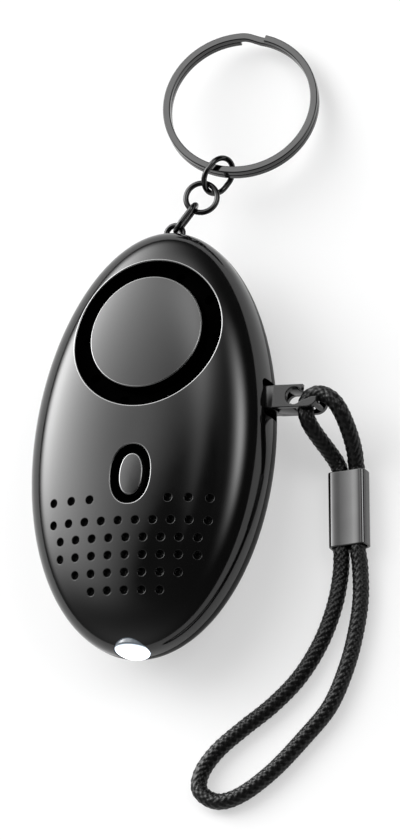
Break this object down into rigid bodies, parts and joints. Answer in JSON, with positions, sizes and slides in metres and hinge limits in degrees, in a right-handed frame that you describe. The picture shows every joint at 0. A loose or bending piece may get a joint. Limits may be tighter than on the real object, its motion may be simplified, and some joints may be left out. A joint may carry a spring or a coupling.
{
  "type": "personal safety alarm",
  "caption": "Egg-shaped personal alarm with a round sounder, torch button and lamp, pull pin on a braided wrist cord, and a key chain with a split ring.",
  "frame": {"origin": "centre of the flat on the rear shell that the case rests on", "axes": "+Z out of the front face, +Y along the case to the key ring, +X to the pull pin"},
  "size_m": [0.0624, 0.1437, 0.0196],
  "materials": {
    "case_black": "polished moulded plastic",
    "screw_steel": "plain",
    "gasket_rubber": "foam",
    "contact_brass": "rolled sheet",
    "ceramic_white": "silvered ceramic",
    "lead_insulation": "flexible insulation",
    "switch_black": "moulded",
    "switch_cream": "moulded",
    "board_green": "solder resist",
    "chip_black": "moulded",
    "coil_ferrite": "ferrite",
    "lens_clear": "clear moulding",
    "lamp_white": "clear epoxy",
    "cell_steel": "nickel plated",
    "cord_black": "braided",
    "dark_nickel": "polished black nickel"
  },
  "bodies": {
    "housing": {"front_shell": "case_black", "rear_shell": "case_black", "case_screws": "screw_steel", "sounder_cap": "case_black", "sounder_gasket": "gasket_rubber", "sounder_plate": "contact_brass", "sounder_ceramic": "ceramic_white", "sounder_leads": "lead_insulation", "switch_body": "switch_black", "circuit_board": "board_green", "driver_chip": "chip_black", "boost_coil": "coil_ferrite", "power_transistor": "chip_black", "chip_resistors": "chip_black", "torch_lens": "lens_clear", "torch_lamp": "lamp_white", "lamp_leads": "lead_insulation", "cell_1": "cell_steel", "cell_2": "cell_steel", "cell_3": "cell_steel", "positive_contact": "cell_steel", "negative_contact": "cell_steel", "pin_contact_rest": "contact_brass", "pin_contact_post": "contact_brass", "key_eyelet": "dark_nickel"},
    "torch_button": {"torch_button": "case_black", "switch_plunger": "switch_cream"},
    "contact_leaf": {"pin_contact_leaf": "contact_brass"},
    "pull_pin": {"pull_pin": "case_black", "wrist_cord": "cord_black", "ferrule": "dark_nickel"},
    "chain_link_1": {"chain_link_1": "dark_nickel"},
    "chain_link_2": {"chain_link_2": "dark_nickel"},
    "chain_link_3": {"chain_link_3": "dark_nickel"},
    "split_ring": {"split_ring": "dark_nickel"}
  },
  "joints": [
    {"name": "pin_pull", "type": "slide", "parent": "housing", "child": "pull_pin", "axis": [1, 0, 0], "range_m": [0, 0.03]},
    {"name": "torch_press", "type": "slide", "parent": "housing", "child": "torch_button", "axis": [0, 0, -1], "range_m": [0, 0.0007], "stiffness_N_per_m": 800},
    {"name": "leaf_close", "type": "hinge", "parent": "housing", "child": "contact_leaf", "pos_m": [0.0083, 0.0076, 0.0104], "axis": [0, 1, 0], "range_deg": [0, 10.4]},
    {"name": "link_1_swing", "type": "hinge", "parent": "housing", "child": "chain_link_1", "pos_m": [0.0008, 0.04089, 0.0095], "axis": [-0.866, 0.5, 0], "range_deg": [-30, 40]},
    {"name": "link_2_swing", "type": "hinge", "parent": "chain_link_1", "child": "chain_link_2", "pos_m": [0.00321, 0.04507, 0.00865], "axis": [0.3778, -0.0297, 0.9254], "range_deg": [-40, 40]},
    {"name": "link_3_swing", "type": "hinge", "parent": "chain_link_2", "child": "chain_link_3", "pos_m": [0.00543, 0.0489, 0.00787], "axis": [-0.8378, 0.5185, 0.171], "range_deg": [-40, 40]},
    {"name": "ring_swing", "type": "hinge", "parent": "chain_link_3", "child": "split_ring", "pos_m": [0.00703, 0.05167, 0.0073], "axis": [-0.9754, 0.1486, 0.1625], "range_deg": [-60, 60]}
  ],
  "couplings": [
    {"joint": "leaf_close", "follows": "pin_pull", "rad_per_m": 6}
  ]
}
